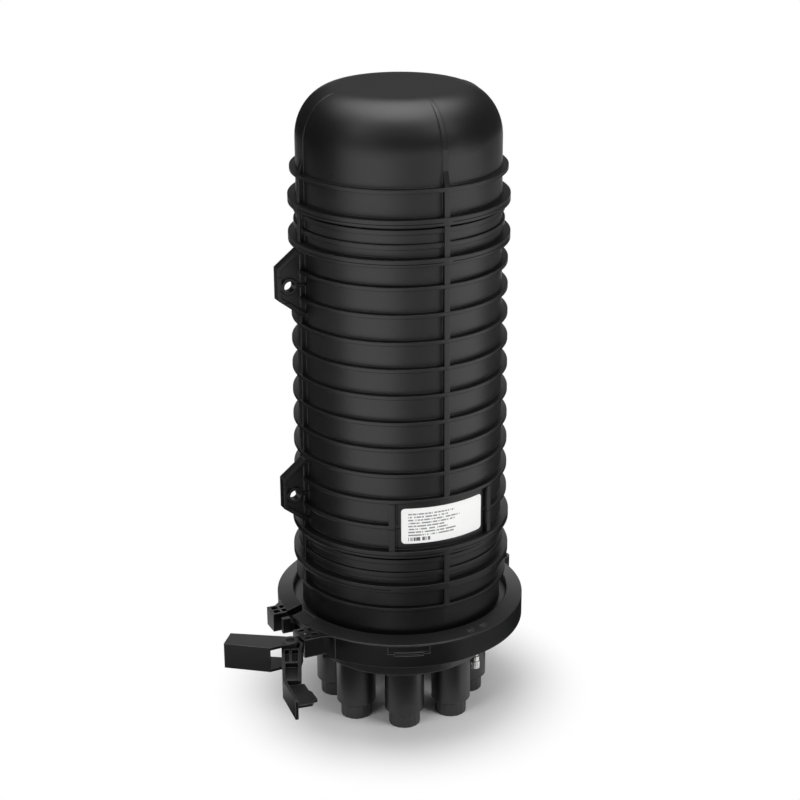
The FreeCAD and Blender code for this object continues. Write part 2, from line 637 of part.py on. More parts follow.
def make_lever():
    lever = body("lever")
    turn = S("lever_turn")

    def plan(points):
        return local(points, px, py, turn)

    low, top = S("lever_low"), S("lever_top")
    t = S("lever_wall")
    bs, bw = S("boss_s"), S("boss_w")
    # Eye on the lug's pin and the neck that wraps round the lug's corner
    pad(lever, "Eye", [(px, py, 6.0)], S("tongue_low"), S("tongue_top"), "Sizes.tongue_low", "Sizes.tongue_top")
    neck = [(3.5, -4.5), (0.9, -9.1), (3.6, -11.7), (6.4, -11.0), (12.0, -8.0), (12.0, -16.0), (7.1, -16.4),
            (0.85, -15.2), (-3.4, -10.25), (-4.4, -4.0), (-3.0, 0.0), (2.0, 0.0)]
    pad(lever, "Neck", [plan(neck)], S("tongue_low"), S("tongue_top"), "Sizes.tongue_low", "Sizes.tongue_top")
    # Head round the hook's pin
    head = [(25.0, -3.2), (17.0, -1.8), (14.4, -1.8), (10.4, -6.8), (8.0, -10.2), (7.6, -15.6), (10.5, -18.8),
            (20.0, -19.4), (25.0, -19.3)]
    pad(lever, "Head", [plan(head)], low, top, "Sizes.lever_low", "Sizes.lever_top")
    # Channel: two walls on a web, a middle rib and two cross ribs
    out_w, in_w, end = -19.2, -3.2, 74.2
    web_low, web_top = S("lever_web"), S("lever_web") + t
    pad(lever, "Web", [plan([(22.0, out_w + 0.2), (22.0, in_w - 0.2), (end, -3.9), (end, out_w + 0.7)])], web_low, web_top)
    pad(lever, "OuterWall", [plan([(20.0, out_w - 0.2), (20.0, out_w + t), (end, -18.7 + t), (end, -18.7)])], low, top)
    pad(lever, "InnerWall", [plan([(22.0, in_w - t), (22.0, in_w), (end + 0.6, -4.0), (end + 0.6, -4.0 - t)])], low, top)
    pad(lever, "MiddleRib", [plan([(20.0, -12.9), (20.0, -10.9), (46.0, -10.9), (46.0, -12.9)])], web_low, top)
    for name, s0 in (("CrossRib", 44.8), ("CrossWall", 73.0)):
        pad(lever, name, [plan([(s0, out_w + 1), (s0, in_w - 1.6), (s0 + t, in_w - 1.6), (s0 + t, out_w + 1)])], web_low, top)
    # Head pockets, open at the top on both sides of the hook's pin
    cells = [plan([(13.6, -4.6), (16.5, -3.9), (22.4, -4.8), (22.4, -7.4), (13.2, -7.4)])]
    pocket(lever, "HeadCell", cells, top - 8.0, top)
    # Bent tail: outer wall and the thumb flange with the tooth for the ring's notch
    tail = [(end - 0.5, -18.9), (108.8, -9.0), (108.1, -9.0 + t), (end - 0.5, -18.9 + t + 0.4)]
    pad(lever, "TailWall", [plan(tail)], low, top)
    flange = [(end - 0.5, -17.4), (end - 0.5, -1.4), (84.0, 1.8), (86.0, 4.2), (98.0, 8.3), (99.6, 5.6), (104.2, 4.4),
              (107.6, -8.4)]
    pad(lever, "TailFlange", [plan(flange)], web_low, web_top)
    boss_x, boss_y = plan([(bs, bw)])[0]
    pocket(lever, "EyeBore", [(px, py, S("latch_pin_rad") + S("pin_play"))], S("tongue_low"), S("tongue_top"))
    pocket(lever, "HookBore", [(boss_x, boss_y, S("latch_pin_rad") + S("pin_play"))], low, top)
    return boss_x, boss_y


def make_hook(bx, by):
    hook = body("hook")
    turn = S("hook_turn")

    def plan(points):
        return local(points, bx, by, turn)

    low, top, t = S("hook_low"), S("hook_top"), S("hook_plate")
    reach, deep, wall = S("hook_reach"), S("hook_deep"), S("hook_wall")
    end_in = 3.4
    # Seen from above, left of the direction is the side away from the ring
    plate = [(-2.0, -6.2), (9.0, -6.0), (reach, -end_in), (reach + 0.6, deep), (13.6, deep + 0.5),
             (5.8, 9.6), (-2.0, 6.2)]
    pad(hook, "TopPlate", [plan(plate)], top - t, top, "Sizes.hook_top - Sizes.hook_plate", "Sizes.hook_top")
    pad(hook, "LowPlate", [plan(plate)], low, low + t, "Sizes.hook_low", "Sizes.hook_low + Sizes.hook_plate")
    for name, z0, z1 in (("EyeTop", top - t, top + 0.6), ("EyeLow", low, low + t)):
        pad(hook, name, [(bx, by, 6.5)], z0, z1)
    outer = [(13.6, deep + 0.5), (13.6, deep + 0.5 - wall), (reach, deep - wall), (reach + 0.6, deep)]
    pad(hook, "OuterWall", [plan(outer)], low, top, "Sizes.hook_low", "Sizes.hook_top")
    close = [(reach - wall, -end_in), (reach, -end_in), (reach + 0.6, deep), (reach + 0.6 - wall, deep)]
    pad(hook, "EndWall", [plan(close)], low, top, "Sizes.hook_low", "Sizes.hook_top")
    rad = S("latch_pin_rad") + S("pin_play")
    pocket(hook, "PinBore", [(bx, by, rad)], low, top + 0.6)
    pocket(hook, "PinRecess", [(bx, by, rad + 1.2)], top - 0.2, top + 0.6)
    pin = body("hook_pin")
    pad(pin, "Shank", [(bx, by, S("latch_pin_rad"))], low + 0.2, top - 0.15)
    pad(pin, "Head", [(bx, by, rad + 1.0)], top - 0.15, top + 0.2)


def hexagon(x, y, across):
    r = across / math.sqrt(3)
    return [(x + r * math.cos(math.radians(60 * i)), y + r * math.sin(math.radians(60 * i))) for i in range(6)]


def make_valve():
    x, y = polar(S("valve_circle"), S("valve_turn"))
    r, low = S("valve_rad"), S("floor_low")
    foot = low - S("valve_drop")
    stem = body("valve_body")
    pad(stem, "Stem", [(x, y, r)], foot, floor_top + 1.1)
    pad(stem, "Collar", [hexagon(x, y, 9.0)], floor_top + 1.05, floor_top + 4.4)
    pad(stem, "Thread", [(x, y, r + 0.5)], foot + 11.0, low - 4.2)
    pocket(stem, "AirWay", [(x, y, 1.2)], foot, floor_top + 4.4)
    washer = body("valve_washer")
    pad(washer, "Washer", [(x, y, 5.0), (x, y, r + S("pin_play"))], floor_top + 0.02, floor_top + 1.03)
    nut = body("valve_nut")
    pad(nut, "Nut", [hexagon(x, y, 9.0), (x, y, r + S("pin_play"))], low - 3.6, low - 0.02)
    cap = body("valve_cap")
    pad(cap, "CapOuter", [(x, y, 4.2)], foot - 1.8, foot + 5.0)
    pad(cap, "CapNeck", [(x, y, 3.7)], foot + 5.0, foot + 9.4)
    pocket(cap, "CapBore", [(x, y, r + S("pin_play"))], foot - 0.3, foot + 9.4)
    grips = []
    for i in range(12):
        a = math.radians(30 * i)
        grips.append((x + 4.35 * math.cos(a), y + 4.35 * math.sin(a), 0.45))
    pocket(cap, "CapGrips", grips, foot - 1.8, foot + 4.2)


def make_inside():
    """Bracket, trays and cable fixings that the closed dome hides."""
    back, t, half = S("plate_back"), S("plate_thick"), S("plate_half")
    low, top = S("plate_low"), plate_top
    at = S("pillar_at")
    foot = body("bracket_foot")
    outline = rounded(-34.0, -34.0, 34.0, 34.0, 6.0)
    holes = [(sx * at, sy * at, S("screw_rad") + 0.1) for sx in (-1, 1) for sy in (-1, 1)]
    pad(foot, "FootPlate", [outline, (0, 0, 14.0)] + holes, low + 0.02, low + 0.02 + t)
    screws = body("foot_screws")
    pad(screws, "Shanks", [(x, y, S("screw_rad")) for x, y, _ in holes], S("floor_low") + 2.5, low + t + 0.05)
    pad(screws, "Heads", [(x, y, 3.6) for x, y, _ in holes], low + t + 0.05, low + t + 2.6)
    plate = body("bracket_plate")
    pad(plate, "Upright", [rect(-half, back, half, back + t)], low + t + 0.04, top)
    pad(plate, "PlateFlange", [rect(-30.0, back - 10.0, 30.0, back + 0.5)], low + t + 0.04, low + 2 * t + 0.04)
    pocket(plate, "ScrewRelief", [(x, y, 4.2) for x, y, _ in holes], low, low + 3 * t)
    ties = []
    for i in range(5):
        for sx in (-1, 1):
            ties.append(rect(sx * 26 - 5, low + 24 + i * 12, sx * 26 + 5, low + 27 + i * 12))
    slots = sketch_on(plate, "XZ_Plane", level(-back - t - 1), ties, "TieSlotsSketch")
    cut = plate.newObject("PartDesign::Pocket", "TieSlots")
    cut.Profile = slots
    cut.Length = t + 2
    cut.Reversed = True
    measured(plate, cut, True)
    # Hinge comb that carries the trays, on the front of the plate
    z0 = S("tray_low")
    comb = body("tray_comb")
    pitch = S("tray_thick") + S("tray_gap")
    front = back - S("tray_count") * pitch - 1.0
    pad(comb, "Comb", [rect(-30.0, front, 30.0, back - 0.02)], z0 - 12.0, z0 - 4.0)
    pad(comb, "CombFoot", [rect(-30.0, back - 6.0, 30.0, back - 0.02)], z0 - 24.0, z0 - 12.0)
    for i in range(int(S("tray_count"))):
        y1 = back - 0.4 - i * pitch
        y0 = y1 - S("tray_thick")
        tray = body("splice_tray_%d" % (i + 1))
        w, h, wall = S("tray_half"), tray_top - z0, S("tray_wall")
        narrow = min(w, math.sqrt(76.0 ** 2 - y0 ** 2)) if abs(y0) > abs(y1) else w
        sketch = sketch_on(tray, "XZ_Plane", level(-y1), [rounded(-narrow, z0 - 3.9, narrow, z0 + h, 16.0)],
                           "TraySketch%d" % i)
        grown = tray.newObject("PartDesign::Pad", "TrayBlock%d" % i)
        grown.Profile = sketch
        grown.Length = S("tray_thick")
        measured(tray, grown, False)
        hollow = [rounded(-narrow + wall, z0 - 3.9 + wall, narrow - wall, z0 + h - wall, 16.0 - wall),
                  rounded(-14, z0 + 40, 14, z0 + 56, 7.9), rounded(-14, z0 + h - 60, 14, z0 + h - 44, 7.9),
                  rect(-18, z0 + 80, 18, z0 + h - 84)]
        sketch = sketch_on(tray, "XZ_Plane", level(-y0), hollow, "TrayHollowSketch%d" % i)
        cut = tray.newObject("PartDesign::Pocket", "TrayHollow%d" % i)
        cut.Profile = sketch
        cut.Length = S("tray_thick") - wall
        measured(tray, cut, True)
    cover = body("tray_cover")
    y1 = back - 0.4 - S("tray_count") * pitch
    sheet_half = S("tray_half") - 2
    outline = rounded(-sheet_half, z0 - 3.9, sheet_half, tray_top, 16.0)
    sketch = sketch_on(cover, "XZ_Plane", level(-y1), [outline], "CoverSketch")
    grown = cover.newObject("PartDesign::Pad", "CoverSheet")
    grown.Profile = sketch
    grown.Length = 1.5
    measured(cover, grown, False)
    # Loose-tube basket behind the plate
    basket = body("tube_basket")
    y0 = back + t + 0.02
    y1 = y0 + 30.0
    w0 = S("plate_half")
    w1 = math.sqrt(76.0 ** 2 - y1 ** 2)
    outer = [(-w0, y0), (w0, y0), (w1, y1), (-w1, y1)]
    inner = [(-w0 + 2.4, y0 + 2), (w0 - 2.4, y0 + 2), (w1 - 2.0, y1 - 2), (-w1 + 2.0, y1 - 2)]
    pad(basket, "BasketWall", [outer], z0 - 20, z0 + 190)
    pocket(basket, "BasketHollow", [inner], z0 - 18, z0 + 190)
    # Cable fixings: posts on the foot plate with a clamp strip and screw each
    posts = body("cable_posts")
    spots = [(sx * 15.0, -30.0) for sx in (-1, 1)]
    pad(posts, "Posts", [rect(x - 5, y - 3, x + 5, y + 3) for x, y in spots], low + t + 0.04, low + 60)
    strap = body("strength_clamps")
    pad(strap, "ClampStrips", [rect(x - 5, y - 5.2, x + 5, y - 3.02) for x, y in spots], low + 44, low + 56)
    bolts = body("strength_screws")
    for k, (x, y) in enumerate(spots):
        for role, y_from, length, rad in (("Shank", y - 5.3, 5.0, 1.5), ("Head", y - 7.4, 2.15, 3.0)):
            sketch = sketch_on(bolts, "XZ_Plane", level(-y_from - length), [(x, low + 50, rad)], "%sSketch%d" % (role, k))
            grown = bolts.newObject("PartDesign::Pad", "%s%d" % (role, k))
            grown.Profile = sketch
            grown.Length = length
            measured(bolts, grown, False)
    for owner, y_low, y_top in ((posts, -3.1, 1.0), (strap, -5.3, -2.9)):
        for k, (x, y) in enumerate(spots):
            sketch = sketch_on(owner, "XZ_Plane", level(-(y + y_top)), [(x, low + 50, 1.55)], "HoleSketch%d" % k)
            cut = owner.newObject("PartDesign::Pocket", "ScrewHole%d" % k)
            cut.Profile = sketch
            cut.Length = y_top - y_low
            cut.Reversed = True
            measured(owner, cut, True)


make_base()
make_seal()
make_dome()
make_label()
make_clamp_right()
make_clamp_left()
make_pins()
boss = make_lever()
make_hook(*boss)
make_valve()
make_inside()
doc.recompute()

for item in doc.Objects:
    if "Invalid" in item.State or "Error" in item.State:
        raise RuntimeError("failed: " + item.Name)
for node in nodes:
    if node.Shape.isNull() or not node.Shape.isValid():
        raise RuntimeError("bad shape: " + node.Label)

os.makedirs("parts", exist_ok=True)
for node in nodes:
    node.Shape.exportStep("parts/%s.step" % node.Label)
    box = node.Shape.BoundBox
    print("%-16s solids %d volume %.0f  X %.1f..%.1f Y %.1f..%.1f Z %.1f..%.1f" % (
        node.Label, len(node.Shape.Solids), node.Shape.Volume, box.XMin, box.XMax, box.YMin, box.YMax,
        box.ZMin, box.ZMax))
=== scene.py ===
import bpy
import json
import math
from mathutils import Matrix, Vector


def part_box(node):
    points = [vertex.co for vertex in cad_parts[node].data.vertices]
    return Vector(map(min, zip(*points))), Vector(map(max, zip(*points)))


# Dome splice closure standing on its eight cable ports, seen from the label side.
# The clamp ring's latch is open. Metres and degrees, in the frame of the CAD model.
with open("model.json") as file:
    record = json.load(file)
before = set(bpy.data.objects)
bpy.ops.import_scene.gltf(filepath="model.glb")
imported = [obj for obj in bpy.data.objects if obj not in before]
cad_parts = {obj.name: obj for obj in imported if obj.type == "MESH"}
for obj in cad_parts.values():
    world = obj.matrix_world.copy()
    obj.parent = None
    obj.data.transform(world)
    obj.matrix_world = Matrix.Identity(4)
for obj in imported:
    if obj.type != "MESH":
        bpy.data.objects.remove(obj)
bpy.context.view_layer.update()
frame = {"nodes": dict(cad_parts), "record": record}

WHITE = (1.0, 1.0, 1.0, 1.0)
# Rays that see the studio's white; all others carry light to the part.
WHITE_RAYS = ("Is Camera Ray", "Is Glossy Ray", "Is Transmission Ray")
# How far the rounded surface leans from the flat one where an edge's wear and painted highlight begin and
# where they are full.
EDGE_BEGINS = 0.01
EDGE_FULL = 0.12
BEVEL_SAMPLES = 6


# Shader maths

class Val:
    """A value inside a finish; arithmetic on it adds Math nodes."""

    def __init__(self, finish, socket):
        self.finish = finish
        self.socket = socket

    def math(self, operation, *others):
        return self.finish.node("ShaderNodeMath", {"operation": operation}, [self, *others])

    def __add__(self, other):
        return self.math("ADD", other)

    def __mul__(self, other):
        return self.math("MULTIPLY", other)

    def __sub__(self, other):
        return self.math("SUBTRACT", other)

    def __truediv__(self, other):
        return self.math("DIVIDE", other)

    def __rsub__(self, other):
        return self.finish.node("ShaderNodeMath", {"operation": "SUBTRACT"}, [other, self])

    __radd__ = __add__
    __rmul__ = __mul__

    def above(self, edge):
        return self.math("GREATER_THAN", edge)

    def below(self, edge):
        return self.math("LESS_THAN", edge)

    def between(self, low, high):
        return self.above(low) * self.below(high)

    def ease(self, low, high):
        """0 below low, 1 above high and a smooth step between them."""
        return self.finish.node("ShaderNodeMapRange", {"interpolation_type": "SMOOTHSTEP"},
                                {"Value": self, "From Min": low, "From Max": high})


class Finish:
    """The nodes of one material, or of the world."""

    def __init__(self, name, kept_in="materials"):
        self.owner = getattr(bpy.data, kept_in).new(name)
        self.owner.use_nodes = True
        self.tree = self.owner.node_tree
        self.tree.nodes.clear()

    def node(self, kind, settings=None, sockets=None, out=0):
        """Adds a node, sets it up, fills or links its sockets and returns one of its outputs."""
        made = self.tree.nodes.new(kind)
        for key, value in (settings or {}).items():
            setattr(made, key, value)
        filled = sockets or {}
        if not isinstance(filled, dict):
            filled = dict(enumerate(filled))
        for key, value in filled.items():
            if isinstance(value, Val):
                self.tree.links.new(value.socket, made.inputs[key])
            else:
                made.inputs[key].default_value = value
        return Val(self, made.outputs[out])

    def place(self):
        """Where a point of the surface is, in the frame of the CAD model."""
        return self.node("ShaderNodeTexCoord", out="Object")

    def split(self, vector):
        return [self.node("ShaderNodeSeparateXYZ", None, [vector], out=i) for i in range(3)]

    def cloud(self, scale, detail, stretch=None):
        where = self.place()
        if stretch:
            where = self.node("ShaderNodeVectorMath", {"operation": "MULTIPLY"}, [where, stretch])
        return self.node("ShaderNodeTexNoise", None, {"Vector": where, "Scale": scale, "Detail": detail})

    def chance(self, seed):
        """A number between 0 and 1 that is new for every seed."""
        return self.node("ShaderNodeTexWhiteNoise", {"noise_dimensions": "1D"}, {"W": seed}, out="Value")

    def mix(self, share, first, second):
        # A Mix node keeps its two colours in sockets 6 and 7, and the mixed colour in output 2.
        return self.node("ShaderNodeMix", {"data_type": "RGBA"}, {0: share, 6: first, 7: second}, out=2)

    def rounded(self, radius):
        return self.node("ShaderNodeBevel", {"samples": BEVEL_SAMPLES}, {"Radius": radius})

    def edges(self, soft):
        """1 on outer and inner edges, 0 on open surfaces."""
        flat = self.node("ShaderNodeNewGeometry", out="Normal")
        same = self.node("ShaderNodeVectorMath", {"operation": "DOT_PRODUCT"}, [flat, soft], out="Value")
        return (1 - same).ease(EDGE_BEGINS, EDGE_FULL)

    def bump(self, height, depth, strength, under=None):
        sockets = {"Height": height, "Distance": depth, "Strength": strength}
        if under is not None:
            sockets["Normal"] = under
        return self.node("ShaderNodeBump", None, sockets)

    def sees_white(self):
        """1 for the rays that see the studio's white."""
        return sum(self.node("ShaderNodeLightPath", out=ray) for ray in WHITE_RAYS).math("MINIMUM", 1.0)

    def done(self, sockets):
        return self.close(self.node("ShaderNodeBsdfPrincipled", None, sockets))

    def close(self, shader, kind="ShaderNodeOutputMaterial"):
        end = self.tree.nodes.new(kind)
        self.tree.links.new(shader.socket, end.inputs["Surface"])
        return self.owner


def rgba(tone):
    return (*tone, 1.0)


# Painted shade lines of the dome

# Upper side of each line: under the rims at both ends, under the ten even ones between them, and
# across the face of the four broad ones.
END_LINES = [0.4724, 0.4465, 0.4398, 0.4281, 0.4152, 0.1702, 0.1628, 0.1512, 0.1390, 0.1210]
EVEN_LINES = [0.3959 - 0.02229 * i for i in range(10)]
FACE_LINES = [0.4493, 0.4180, 0.1730, 0.1418]
LINE_THICK = 0.0007
LINE_SHADE = 0.75
# The lines stop at the four upright strips and inside the label window.
STRIP_HALF = 0.0038
WINDOW_HALF = 0.046
WINDOW_FRONT = -0.05
WINDOW_FOOT = 0.104
WINDOW_TOP = 0.160


def painted_rim_shade(f):
    """1 on the lines that get painted shade, where a rim's lower edge and its parting step leave shade."""
    x, y, z = f.split(f.place())
    painted_shade_lines = sum(z.between(level - LINE_THICK, level) for level in END_LINES + EVEN_LINES + FACE_LINES)
    beside_strips = x.math("ABSOLUTE").above(STRIP_HALF) * y.math("ABSOLUTE").above(STRIP_HALF)
    front = x.between(-WINDOW_HALF, WINDOW_HALF) * y.below(WINDOW_FRONT)
    window = front * z.between(WINDOW_FOOT, WINDOW_TOP)
    return painted_shade_lines * beside_strips * (1 - window)


# Finishes

METAL_CORNER = 0.0003
TRAY_CORNER = 0.0004


def moulded(name, dark, light, lighter, rough, corner, sheen, painted_shade_lines=None):
    """Matte black moulding: fine spark grain, faint flow marks, edges rubbed a little smoother and painted
    lighter, partly wear and partly a painted highlight; given lines get painted shade.
    """
    f = Finish(name)
    spark = f.cloud(scale=1500.0, detail=2.0)
    flow = f.cloud(scale=11.0, detail=4.0, stretch=(1.0, 1.0, 0.35))
    edge_patches = f.cloud(scale=38.0, detail=5.0)
    soft = f.rounded(corner)
    edge = f.edges(soft)
    body = f.mix(flow, rgba(dark), rgba(light))
    # Painted highlight and wear: the edges take the lighter tone, in patches.
    rubbed_and_highlit = f.mix(edge * edge_patches, body, rgba((lighter, lighter, lighter)))
    dull = rough + (flow - 0.5) * 0.10 + (spark - 0.5) * 0.12 - edge * 0.06
    grain = f.bump(spark, depth=0.00006, strength=0.45, under=soft)
    shell = f.node("ShaderNodeBsdfPrincipled", None,
                   {"Base Color": rubbed_and_highlit, "Roughness": dull, "Specular IOR Level": sheen, "Normal": grain})
    if painted_shade_lines is None:
        return f.close(shell)
    # Painted shade: a dark diffuse shader is mixed in along the lines.
    shade = f.node("ShaderNodeBsdfDiffuse", None, {"Color": rgba(dark)})
    return f.close(f.node("ShaderNodeMixShader", None, [painted_shade_lines(f) * LINE_SHADE, shell, shade]))


def rubber(name):
    """Black seal rubber with a breath of dust."""
    f = Finish(name)
    dust = f.cloud(scale=60.0, detail=5.0)
    pore = f.cloud(scale=1900.0, detail=2.0)
    colour = f.mix(dust, (0.010, 0.010, 0.011, 1), (0.026, 0.026, 0.027, 1))
    return f.done({"Base Color": colour, "Roughness": 0.72 + dust * 0.14,
                   "Normal": f.bump(pore, depth=0.00005, strength=0.4)})


def bare_steel(name):
    """Brushed sheet steel, streaked along its height and a little stained."""
    f = Finish(name)
    streak = f.cloud(scale=160.0, detail=4.0, stretch=(1.0, 1.0, 14.0))
    stain = f.cloud(scale=24.0, detail=4.0)
    soft = f.rounded(METAL_CORNER)
    colour = f.mix(stain, (0.50, 0.51, 0.53, 1), (0.66, 0.66, 0.67, 1))
    return f.done({"Base Color": colour, "Metallic": 1.0, "Roughness": 0.24 + streak * 0.16 + stain * 0.08,
                   "Normal": f.bump(streak, depth=0.00003, strength=0.3, under=soft)})


def blackened_steel(name):
    """Oxide-black pins, worn a little lighter where they are handled."""
    f = Finish(name)
    lighter = f.cloud(scale=120.0, detail=5.0)
    grain = f.cloud(scale=700.0, detail=2.0)
    soft = f.rounded(METAL_CORNER)
    colour = f.mix(lighter.ease(0.5, 0.8), (0.030, 0.030, 0.032, 1), (0.075, 0.075, 0.078, 1))
    return f.done({"Base Color": colour, "Metallic": 1.0, "Roughness": 0.36 + lighter * 0.18,
                   "Normal": f.bump(grain, depth=0.00002, strength=0.3, under=soft)})


def plated(name):
    """Bright nickel plate with finger smudges, for the test valve."""
    f = Finish(name)
    smudge = f.cloud(scale=220.0, detail=4.0)
    soft = f.rounded(METAL_CORNER)
    colour = f.mix(smudge, (0.78, 0.78, 0.78, 1), (0.90, 0.89, 0.88, 1))
    return f.done({"Base Color": colour, "Metallic": 1.0, "Roughness": 0.20 + smudge * 0.14,
                   "Normal": f.bump(smudge, depth=0.00002, strength=0.08, under=soft)})


def tray_grey(name):
    """Pale grey moulding of the splice trays, their comb, the basket and the posts."""
    f = Finish(name)
    flow = f.cloud(scale=18.0, detail=4.0)
    spark = f.cloud(scale=1300.0, detail=2.0)
    soft = f.rounded(TRAY_CORNER)
    colour = f.mix(flow, (0.3864, 0.3956, 0.4048, 1), (0.4452, 0.4558, 0.4664, 1))
    return f.done({"Base Color": colour, "Roughness": 0.42 + flow * 0.12,
                   "Normal": f.bump(spark, depth=0.00004, strength=0.4, under=soft)})


def clear_sheet(name):
    """Thin clear cover over the top tray, a little hazy."""
    f = Finish(name)
    haze = f.cloud(scale=26.0, detail=4.0)
    return f.done({"Base Color": (0.80, 0.84, 0.86, 1), "Roughness": 0.08 + haze * 0.12,
                   "Alpha": 0.35 + haze * 0.1})


# Label

LABEL_WIDE = 0.072
LABEL_HIGH = 0.031
LABEL_RADIUS = 0.0862
# Print, measured from the label's left side and from its top.
PRINT_LEFT = 0.0045
ROWS = 8
FIRST_ROW = 0.0042
ROW_PITCH = 0.00265
SHORTEST_ROW = 0.034
ROW_SPREAD = 0.016
DASH = 0.00062
BAR = 0.00042
BARS_RIGHT = 0.0225
BARS_TOP = 0.0256
BARS_FOOT = 0.0288
# Top and foot of a row's dashes, as shares of the pitch.
DASH_TOP = 0.12
DASH_FOOT = 0.62
# Shares of the dashes and bars that stay blank, and how dark the print is.
DASH_GAPS = 0.2
BAR_GAPS = 0.42
DASH_INK = 0.72
BAR_INK = 0.9
FULL_INK = 0.92
# Starting points of the random rows, dashes and bars.
ROW_SEED = 3.7
DASH_SEED = 131.0
BAR_SEED = 0.5


def printed_label(name, mid_z):
    """White film with rows of print too small to read and a block of bars."""
    f = Finish(name)
    x, y, z = f.split(f.place())
    across = x.math("ARCTAN2", y * -1.0) * LABEL_RADIUS + LABEL_WIDE / 2
    down = mid_z + LABEL_HIGH / 2 - z
    row = (down - FIRST_ROW) / ROW_PITCH
    number = row.math("FLOOR")
    within = row.math("FRACT").between(DASH_TOP, DASH_FOOT)
    rows = number.between(-0.5, ROWS - 0.5)
    reach = f.chance(number + ROW_SEED)
    length = across.below(SHORTEST_ROW + reach * ROW_SPREAD) * across.above(PRINT_LEFT)
    cell = (across / DASH).math("FLOOR")
    ink = f.chance(cell + number * DASH_SEED)
    words = within * rows * length * ink.above(DASH_GAPS)
    bar = (across / BAR).math("FLOOR")
    thick = f.chance(bar + BAR_SEED)
    block = across.between(PRINT_LEFT, BARS_RIGHT) * down.between(BARS_TOP, BARS_FOOT)
    bars = block * thick.above(BAR_GAPS)
    print_mask = (words * DASH_INK + bars * BAR_INK).math("MINIMUM", FULL_INK)
    fibre = f.cloud(scale=900.0, detail=3.0)
    tint = f.cloud(scale=30.0, detail=3.0)
    film = f.mix(tint, (0.80, 0.80, 0.79, 1), (0.88, 0.88, 0.875, 1))
    colour = f.mix(print_mask, film, (0.035, 0.035, 0.04, 1))
    return f.done({"Base Color": colour, "Roughness": 0.36 + tint * 0.12 + print_mask * 0.1,
                   "Normal": f.bump(fibre, depth=0.00002, strength=0.3)})


# Lever pin

SPOT_BRIGHT = 0.0008
SPOT_END = 0.0014
SPOT_RAGGED = 0.0008


def worn_pin(name, centre):
    """A blackened pin head with a small bright worn spot in its middle."""
    f = Finish(name)
    x, y = f.split(f.place())[:2]
    wear = f.cloud(scale=420.0, detail=4.0)
    along = x - centre.x
    aside = y - centre.y
    out = (along * along + aside * aside).math("SQRT") + wear * SPOT_RAGGED
    blackened = out.ease(SPOT_BRIGHT, SPOT_END)
    colour = f.mix(blackened, (0.75, 0.75, 0.76, 1), (0.012, 0.012, 0.013, 1))
    grain = f.bump(wear, depth=0.00004, strength=0.4, under=f.rounded(METAL_CORNER))
    return f.done({"Base Color": colour, "Metallic": 1.0 - blackened, "Roughness": 0.45 + wear * 0.2,
                   "Normal": grain})


def coat(node, finish):
    for slot in node.material_slots:
        slot.material = finish


label_low, label_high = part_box("label")
finishes = {
    "black_moulding": moulded(
        "black moulding", dark=(0.0016, 0.0016, 0.0017), light=(0.0032, 0.0032, 0.0033),
        lighter=0.012, rough=0.41, corner=0.0010, sheen=0.92, painted_shade_lines=painted_rim_shade),
    # The clamp's edges take a strong lighter tone, partly wear and partly a painted highlight.
    "clamp_moulding": moulded(
        "clamp moulding", dark=(0.0014, 0.0014, 0.0015), light=(0.0028, 0.0028, 0.0029),
        lighter=0.17, rough=0.42, corner=0.0007, sheen=0.92),
    "seal_rubber": rubber("seal rubber"),
    "label_film": printed_label("label film", (label_low.z + label_high.z) / 2),
    "steel": bare_steel("bare steel"),
    "dark_steel": blackened_steel("blackened steel"),
    "plated": plated("nickel plate"),
    "tray_plastic": tray_grey("tray grey"),
    "clear_plastic": clear_sheet("clear sheet"),
}
for part in frame["record"]["subparts"]:
    coat(frame["nodes"][part["node"]], finishes[part["material_slot"]])

pin_low, pin_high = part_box("lever_pin")
coat(frame["nodes"]["lever_pin"], worn_pin("worn lever pin", (pin_low + pin_high) / 2))


# Studio

# Azimuth from which the photograph looks; screens count theirs from it, lamps from the label's side.
VIEW = -25.0
ROOM_LIGHT = 0.22
MIDDLE = (0.0, 0.0, 0.27)
LOW_MIDDLE = (0.0, 0.0, 0.2)

# Soft boxes: azimuth, distance, height, what they aim at, width, power, and whether the gloss sees them.
LAMPS = {
    "left box": (-70.0, 1.7, 0.9, MIDDLE, 1.0, 17.0, False),
    "right box": (35.0, 1.7, 0.9, MIDDLE, 1.0, 21.0, False),
    "top box": (VIEW + 180.0, 0.3, 2.3, LOW_MIDDLE, 2.2, 22.0, True),
}

# The room is white, and the moulding mirrors it. Screens that only reflections see glow at their tone and
# paint what it mirrors:
# dark ones keep most of the white off the part, so that its walls are dark between two pale upright lobes,
# and pale cards paint highlights.
DARK = 0.01
SCREEN_LEVEL = 0.0004
NEAR_END = 0.42
FLOOR_END = 2.2
SWEEP_STEP = 6.0

# Screens that lie on the floor: first and last azimuth, near and far edge, tone.
FLOOR_SCREENS = {
    "near screen": (-78.0, 48.0, 0.115, NEAR_END, DARK),
    "near left screen": (-138.0, -78.0, 0.26, NEAR_END, DARK),
    "near back screen": (-258.0, -138.0, 0.115, NEAR_END, DARK),
    "near right screen": (50.0, 102.0, 0.17, NEAR_END, DARK),
    "left screen": (-180.0, -60.0, NEAR_END, FLOOR_END, DARK),
    "middle screen": (-2.0, 48.0, NEAR_END, FLOOR_END, 0.26),
    "back screen": (100.0, 180.0, NEAR_END, FLOOR_END, 0.05),
}

